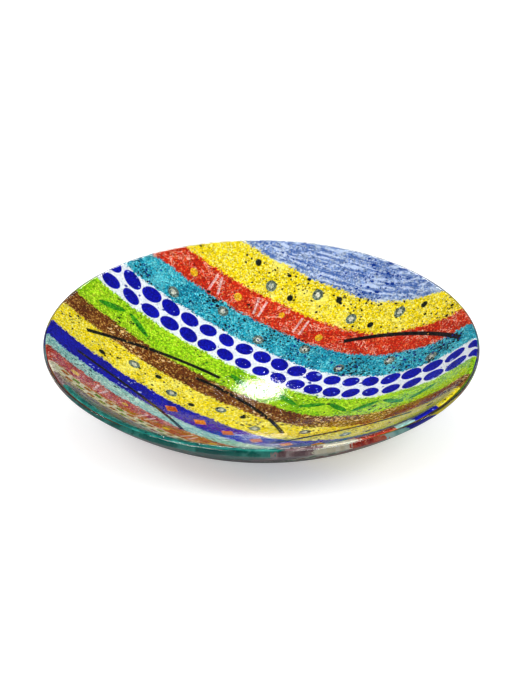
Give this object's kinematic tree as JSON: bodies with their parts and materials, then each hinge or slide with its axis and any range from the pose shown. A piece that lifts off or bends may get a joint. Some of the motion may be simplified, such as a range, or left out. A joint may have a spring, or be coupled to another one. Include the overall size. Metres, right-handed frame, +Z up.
{
  "type": "art glass bowl",
  "caption": "Wide shallow fused art glass bowl: coloured glass strips with inlays sealed between a clear base and a clear cap, fire-polished lip, flat ground foot.",
  "frame": {"origin": "centre of the flat ground foot, on the surface the bowl stands on", "axes": "+Z up through the middle of the bowl, +Y away from the picture's viewer, +X to the viewer's right"},
  "size_m": [0.3999, 0.4, 0.0827],
  "materials": {
    "clear_base": "gloss",
    "clear_cap": "gloss",
    "black_stringers": "gloss",
    "cobalt_pebbles": "gloss",
    "green_slivers": "gloss",
    "red_tesserae": "gloss",
    "green_tesserae": "gloss",
    "pink_rungs": "gloss",
    "yellow_spots": "gloss",
    "murrine_rings": "gloss",
    "murrine_cores": "gloss",
    "black_spots": "gloss",
    "orange_diamonds": "gloss",
    "lavender_strip": "grained",
    "far_yellow_strip": "grained",
    "far_red_strip": "grained",
    "turquoise_strip": "grained",
    "white_strip": "grained",
    "lime_strip": "grained",
    "amber_strip": "grained",
    "near_yellow_strip": "grained",
    "cobalt_strip": "grained",
    "aqua_strip": "grained",
    "near_red_strip": "grained",
    "cream_strip": "grained",
    "mauve_strip": "grained",
    "teal_strip": "grained"
  },
  "bodies": {
    "root": {"clear_base": "clear_base", "clear_cap": "clear_cap", "black_stringers": "black_stringers", "cobalt_pebbles": "cobalt_pebbles", "green_slivers": "green_slivers", "red_tesserae": "red_tesserae", "green_tesserae": "green_tesserae", "pink_rungs": "pink_rungs", "yellow_spots": "yellow_spots", "murrine_rings": "murrine_rings", "murrine_cores": "murrine_cores", "black_spots": "black_spots", "orange_diamonds": "orange_diamonds", "lavender_strip": "lavender_strip", "far_yellow_strip": "far_yellow_strip", "far_red_strip": "far_red_strip", "turquoise_strip": "turquoise_strip", "white_strip": "white_strip", "lime_strip": "lime_strip", "amber_strip": "amber_strip", "near_yellow_strip": "near_yellow_strip", "cobalt_strip": "cobalt_strip", "aqua_strip": "aqua_strip", "near_red_strip": "near_red_strip", "cream_strip": "cream_strip", "mauve_strip": "mauve_strip", "teal_strip": "teal_strip"}
  },
  "joints": []
}
